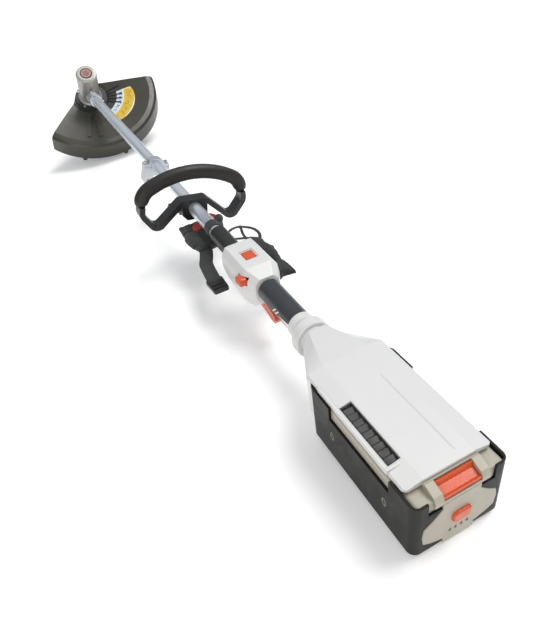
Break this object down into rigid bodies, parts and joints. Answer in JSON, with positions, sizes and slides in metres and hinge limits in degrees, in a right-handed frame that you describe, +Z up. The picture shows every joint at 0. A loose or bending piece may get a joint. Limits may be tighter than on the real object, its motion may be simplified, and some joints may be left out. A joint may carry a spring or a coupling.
{
  "type": "brush cutter",
  "caption": "Cordless brush cutter: long aluminium shaft with a motor head and guard in front, loop handle, trigger grip and a rear casing with a slide-in battery.",
  "frame": {"origin": "centre of the footprint box at ground level, with the machine lying at rest on its battery and its guard", "axes": "+Y from the battery towards the cutting head, +X to the operator's right, +Z up"},
  "size_m": [0.3798, 1.8006, 0.261],
  "materials": {
    "anodised_tube": "satin anodised",
    "cast_aluminium": "tumbled cast",
    "silver_paint": "silver lacquer over casting",
    "steel": "bright zinc",
    "dark_steel": "black oxide",
    "off_white_plastic": "fine satin texture",
    "light_grey_plastic": "warm light grey, satin",
    "black_plastic": "moulded, fine grain",
    "black_rubber": "soft overmould",
    "grip_rubber": "charcoal soft grip",
    "orange_plastic": "orange, smooth",
    "shield_plastic": "tough dark grey moulding",
    "board": "circuit board laminate",
    "cell_wrap": "shrink sleeve",
    "winding": "nylon line",
    "laminations": "stacked laminations",
    "badge": "printed disc",
    "harness_fabric": "woven, padded",
    "webbing": "woven tape",
    "dark_window": "tinted"
  },
  "bodies": {
    "shaft": {"badge_disc": "badge", "casing_base": "off_white_plastic", "casing_cover": "off_white_plastic", "clamp_screws": "steel", "control_board": "board", "control_lower": "off_white_plastic", "control_upper": "off_white_plastic", "grip_sleeve": "grip_rubber", "hanger_lower": "cast_aluminium", "hanger_upper": "cast_aluminium", "harness_buckle": "black_plastic", "harness_webbing": "webbing", "hip_pad": "harness_fabric", "housing_screws": "steel", "line_cutter": "steel", "motor_bearings": "steel", "motor_cable": "black_rubber", "motor_cap": "silver_paint", "motor_controller": "cast_aluminium", "motor_housing": "silver_paint", "motor_stator": "laminations", "neck_collar": "off_white_plastic", "release_tab": "orange_plastic", "shaft_sleeve": "black_plastic", "shaft_tube": "anodised_tube", "shield": "shield_plastic", "shield_bracket": "dark_steel", "shield_screws": "steel", "shoulder_pad": "harness_fabric", "terminal_block": "black_plastic", "trigger_pin": "steel", "trigger_spring": "steel", "trigger_switch": "black_plastic", "tube_socket": "cast_aluminium", "vent_grille": "black_plastic"},
    "cutting_head": {"motor_rotor": "laminations", "output_shaft": "steel", "spool_housing": "black_plastic", "line_spool": "black_plastic", "line_winding": "winding", "spool_cover": "black_plastic", "bump_spring": "steel"},
    "bump_knob": {"bump_knob": "black_plastic"},
    "trigger": {"trigger": "orange_plastic"},
    "power_button": {"power_button": "orange_plastic"},
    "lock_button": {"lock_button": "orange_plastic"},
    "battery": {"battery_case": "light_grey_plastic", "battery_bumpers": "black_rubber", "battery_panel": "light_grey_plastic", "gauge_lights": "dark_window", "battery_cells": "cell_wrap", "latch_block": "light_grey_plastic", "latch_spring": "steel"},
    "battery_latch": {"battery_latch": "orange_plastic"},
    "gauge_button": {"gauge_button": "orange_plastic"},
    "loop_handle": {"loop_frame": "black_plastic", "loop_grip": "black_rubber", "loop_clamp": "black_plastic", "loop_screws": "dark_steel"},
    "clamp_knob": {"clamp_knob": "black_plastic"}
  },
  "joints": [
    {"name": "head_spin", "type": "hinge", "parent": "shaft", "child": "cutting_head", "pos_m": [-0.02108, 0.80759, 0.18772], "axis": [0, -0.6207, 0.784], "continuous": true},
    {"name": "bump_travel", "type": "slide", "parent": "cutting_head", "child": "bump_knob", "axis": [0, -0.6207, 0.784], "range_m": [0, 0.005], "stiffness_N_per_m": 900, "springref_m": -0.004, "deforming": ["bump_spring"]},
    {"name": "trigger_pull", "type": "hinge", "parent": "shaft", "child": "trigger", "pos_m": [-0.02108, -0.39647, 0.07639], "axis": [-1, 0, 0], "range_deg": [0, 9], "stiffness_Nm_per_rad": 1.2, "springref_deg": -5.73, "deforming": ["trigger_spring"]},
    {"name": "power_press", "type": "slide", "parent": "shaft", "child": "power_button", "axis": [0, 0.0588, -0.9983], "range_m": [0, 0.0013], "stiffness_N_per_m": 1200, "springref_m": -0.001},
    {"name": "lock_press", "type": "slide", "parent": "shaft", "child": "lock_button", "axis": [1, 0, 0], "range_m": [0, 0.004], "stiffness_N_per_m": 600, "springref_m": -0.002},
    {"name": "battery_slide", "type": "slide", "parent": "shaft", "child": "battery", "axis": [0, -0.9983, -0.0588], "range_m": [0, 0.22]},
    {"name": "latch_press", "type": "slide", "parent": "battery", "child": "battery_latch", "axis": [0, 0.0588, -0.9983], "range_m": [0, 0.0028], "stiffness_N_per_m": 1500, "springref_m": -0.002, "deforming": ["latch_spring"]},
    {"name": "gauge_press", "type": "slide", "parent": "battery", "child": "gauge_button", "axis": [0, 0.9983, 0.0588], "range_m": [0, 0.001], "stiffness_N_per_m": 1000, "springref_m": -0.001},
    {"name": "loop_slide", "type": "slide", "parent": "shaft", "child": "loop_handle", "axis": [0, 0.9983, 0.0588], "range_m": [0, 0.12]},
    {"name": "knob_turn", "type": "hinge", "parent": "loop_handle", "child": "clamp_knob", "pos_m": [-0.05664, -0.06312, 0.11413], "axis": [-0.9848, -0.0102, 0.1733], "continuous": true}
  ]
}
